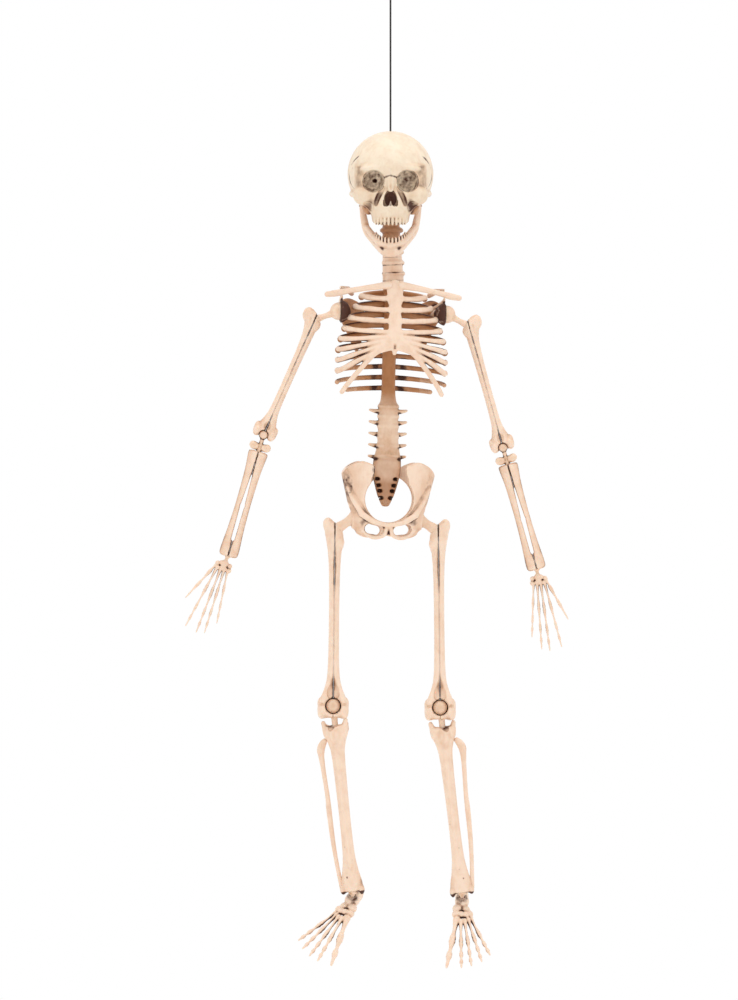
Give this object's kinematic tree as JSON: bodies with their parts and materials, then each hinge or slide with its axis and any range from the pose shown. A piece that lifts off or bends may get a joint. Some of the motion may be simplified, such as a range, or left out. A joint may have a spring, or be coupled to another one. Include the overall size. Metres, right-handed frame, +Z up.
{
  "type": "hanging halloween skeleton figure",
  "caption": "Poseable plastic skeleton decoration that hangs from a cord loop on its skull, with a hinged jaw and ball-jointed neck, arms and legs.",
  "frame": {"origin": "the inside top of the cord's loop, where a hook bears", "axes": "+Z up along the hanging cord; the figure faces -Y; +X is the figure's own left side"},
  "size_m": [0.4196, 0.116, 1.0845],
  "materials": {
    "skull_bone": "cream yellow blow-moulded plastic with a brown wash rubbed into every recess",
    "trunk_bone": "tan moulded plastic, darker orange-brown inside the ribs, with a brown wash",
    "limb_bone": "pinkish cream moulded plastic, brown wash in seams and recesses",
    "ball": "smooth cream ball-joint plastic, brown stained at the edges",
    "cup": "dark stained lining cup",
    "pins": "plain steel wire pin",
    "cord": "thin black braided cord"
  },
  "bodies": {
    "skull": {"skull_face": "skull_bone", "skull_back": "skull_bone", "jaw_pins": "pins", "hanging_cord": "cord", "loop_knot": "cord", "crown_knot": "cord"},
    "jaw": {"jaw": "skull_bone"},
    "neck": {"neck_column": "trunk_bone"},
    "torso": {"rib_cage_front": "trunk_bone", "rib_cage_back": "trunk_bone", "spine_column": "trunk_bone", "pelvis": "trunk_bone", "left_clavicle": "limb_bone", "left_shoulder_blade": "limb_bone", "right_clavicle": "limb_bone", "right_shoulder_blade": "limb_bone"},
    "left_shoulder_cup": {"left_shoulder_cup": "cup"},
    "left_upper_arm": {"left_shoulder_ball": "ball", "left_humerus_plus": "limb_bone", "left_humerus_minus": "limb_bone"},
    "left_elbow": {"left_elbow_ball": "ball"},
    "left_forearm": {"left_forearm_plus": "limb_bone", "left_forearm_minus": "limb_bone"},
    "left_wrist": {"left_wrist_ball": "ball"},
    "left_hand": {"left_hand": "limb_bone"},
    "left_hip_cup": {"left_hip_cup": "cup"},
    "left_thigh": {"left_hip_ball": "ball", "left_femur_plus": "limb_bone", "left_femur_minus": "limb_bone"},
    "left_knee": {"left_knee_ball": "ball"},
    "left_shin": {"left_tibia": "limb_bone", "left_fibula": "limb_bone"},
    "left_ankle": {"left_ankle_ball": "ball"},
    "left_foot": {"left_foot": "limb_bone"},
    "right_shoulder_cup": {"right_shoulder_cup": "cup"},
    "right_upper_arm": {"right_shoulder_ball": "ball", "right_humerus_plus": "limb_bone", "right_humerus_minus": "limb_bone"},
    "right_elbow": {"right_elbow_ball": "ball"},
    "right_forearm": {"right_forearm_plus": "limb_bone", "right_forearm_minus": "limb_bone"},
    "right_wrist": {"right_wrist_ball": "ball"},
    "right_hand": {"right_hand": "limb_bone"},
    "right_hip_cup": {"right_hip_cup": "cup"},
    "right_thigh": {"right_hip_ball": "ball", "right_femur_plus": "limb_bone", "right_femur_minus": "limb_bone"},
    "right_knee": {"right_knee_ball": "ball"},
    "right_shin": {"right_tibia": "limb_bone", "right_fibula": "limb_bone"},
    "right_ankle": {"right_ankle_ball": "ball"},
    "right_foot": {"right_foot": "limb_bone"}
  },
  "joints": [
    {"name": "jaw_hinge", "type": "hinge", "parent": "skull", "child": "jaw", "pos_m": [0, -0.005, -0.26], "axis": [-1, 0, 0], "range_deg": [0, 17]},
    {"name": "head_nod", "type": "hinge", "parent": "skull", "child": "neck", "pos_m": [0, 0.002, -0.267], "axis": [0.9954, 0.0874, 0.0386], "range_deg": [-18, 18]},
    {"name": "neck_turn", "type": "hinge", "parent": "neck", "child": "torso", "pos_m": [0.003, 0.00199, -0.34441], "axis": [-0.0388, 0.0001, 0.9992], "range_deg": [-60, 60]},
    {"name": "left_shoulder_swing", "type": "hinge", "parent": "torso", "child": "left_shoulder_cup", "pos_m": [0.06055, 0.00409, -0.37702], "axis": [-0.9958, -0.0872, 0.0278], "range_deg": [-50, 160]},
    {"name": "left_shoulder_raise", "type": "hinge", "parent": "left_shoulder_cup", "child": "left_upper_arm", "pos_m": [0.06055, 0.00409, -0.37702], "axis": [0, -1, 0], "range_deg": [-12, 38]},
    {"name": "left_elbow_bend", "type": "hinge", "parent": "left_upper_arm", "child": "left_elbow", "pos_m": [0.1215, 0.00409, -0.52094], "axis": [-0.9632, 0, -0.2689], "range_deg": [0, 100]},
    {"name": "left_forearm_turn", "type": "hinge", "parent": "left_elbow", "child": "left_forearm", "pos_m": [0.1215, 0.00409, -0.52094], "axis": [-0.2689, 0, 0.9632], "range_deg": [-90, 90]},
    {"name": "left_wrist_bend", "type": "hinge", "parent": "left_forearm", "child": "left_wrist", "pos_m": [0.15781, 0.00409, -0.65096], "axis": [-0.9885, 0, -0.1513], "range_deg": [-55, 55]},
    {"name": "left_hand_turn", "type": "hinge", "parent": "left_wrist", "child": "left_hand", "pos_m": [0.15781, 0.00409, -0.65096], "axis": [-0.1513, 0, 0.9885], "range_deg": [-90, 90]},
    {"name": "left_hip_swing", "type": "hinge", "parent": "torso", "child": "left_hip_cup", "pos_m": [0.02901, 0.00589, -0.59843], "axis": [-0.9958, -0.0872, 0.0278], "range_deg": [-25, 100]},
    {"name": "left_hip_spread", "type": "hinge", "parent": "left_hip_cup", "child": "left_thigh", "pos_m": [0.02901, 0.00589, -0.59843], "axis": [0, -1, 0], "range_deg": [0, 30]},
    {"name": "left_knee_bend", "type": "hinge", "parent": "left_thigh", "child": "left_knee", "pos_m": [0.05364, 0.00589, -0.80168], "axis": [0.993, 0, 0.1184], "range_deg": [0, 105]},
    {"name": "left_shin_turn", "type": "hinge", "parent": "left_knee", "child": "left_shin", "pos_m": [0.05364, 0.00589, -0.80168], "axis": [-0.1184, 0, 0.993], "range_deg": [-20, 20]},
    {"name": "left_ankle_pitch", "type": "hinge", "parent": "left_shin", "child": "left_ankle", "pos_m": [0.07732, 0.00589, -1.00028], "axis": [0.9994, 0.0349, 0], "range_deg": [-53, 4]},
    {"name": "left_foot_turn", "type": "hinge", "parent": "left_ankle", "child": "left_foot", "pos_m": [0.07732, 0.00589, -1.00028], "axis": [0, -0.7314, 0.682], "range_deg": [-20, 20]},
    {"name": "right_shoulder_swing", "type": "hinge", "parent": "torso", "child": "right_shoulder_cup", "pos_m": [-0.05575, -0.00609, -0.37378], "axis": [-0.9958, -0.0872, 0.0278], "range_deg": [-50, 160]},
    {"name": "right_shoulder_raise", "type": "hinge", "parent": "right_shoulder_cup", "child": "right_upper_arm", "pos_m": [-0.05575, -0.00609, -0.37378], "axis": [0, 1, 0], "range_deg": [-18, 38]},
    {"name": "right_elbow_bend", "type": "hinge", "parent": "right_upper_arm", "child": "right_elbow", "pos_m": [-0.13707, -0.00609, -0.50724], "axis": [-0.9593, 0, 0.2823], "range_deg": [0, 100]},
    {"name": "right_forearm_turn", "type": "hinge", "parent": "right_elbow", "child": "right_forearm", "pos_m": [-0.13707, -0.00609, -0.50724], "axis": [-0.2823, 0, -0.9593], "range_deg": [-90, 90]},
    {"name": "right_wrist_bend", "type": "hinge", "parent": "right_forearm", "child": "right_wrist", "pos_m": [-0.17519, -0.00609, -0.63675], "axis": [-0.9272, 0, 0.3746], "range_deg": [-55, 55]},
    {"name": "right_hand_turn", "type": "hinge", "parent": "right_wrist", "child": "right_hand", "pos_m": [-0.17519, -0.00609, -0.63675], "axis": [-0.3746, 0, -0.9272], "range_deg": [-90, 90]},
    {"name": "right_hip_swing", "type": "hinge", "parent": "torso", "child": "right_hip_cup", "pos_m": [-0.03731, 0.00008, -0.59658], "axis": [-0.9958, -0.0872, 0.0278], "range_deg": [-25, 100]},
    {"name": "right_hip_spread", "type": "hinge", "parent": "right_hip_cup", "child": "right_thigh", "pos_m": [-0.03731, 0.00008, -0.59658], "axis": [0, 1, 0], "range_deg": [0, 30]},
    {"name": "right_knee_bend", "type": "hinge", "parent": "right_thigh", "child": "right_knee", "pos_m": [-0.06194, 0.00008, -0.79983], "axis": [0.9945, 0, 0.1045], "range_deg": [0, 105]},
    {"name": "right_shin_turn", "type": "hinge", "parent": "right_knee", "child": "right_shin", "pos_m": [-0.06194, 0.00008, -0.79983], "axis": [0.1045, 0, -0.9945], "range_deg": [-20, 20]},
    {"name": "right_ankle_pitch", "type": "hinge", "parent": "right_shin", "child": "right_ankle", "pos_m": [-0.04104, 0.00008, -0.99874], "axis": [0.809, -0.5878, 0], "range_deg": [-53, 4]},
    {"name": "right_foot_turn", "type": "hinge", "parent": "right_ankle", "child": "right_foot", "pos_m": [-0.04104, 0.00008, -0.99874], "axis": [0, 0.7314, -0.682], "range_deg": [-20, 20]}
  ]
}
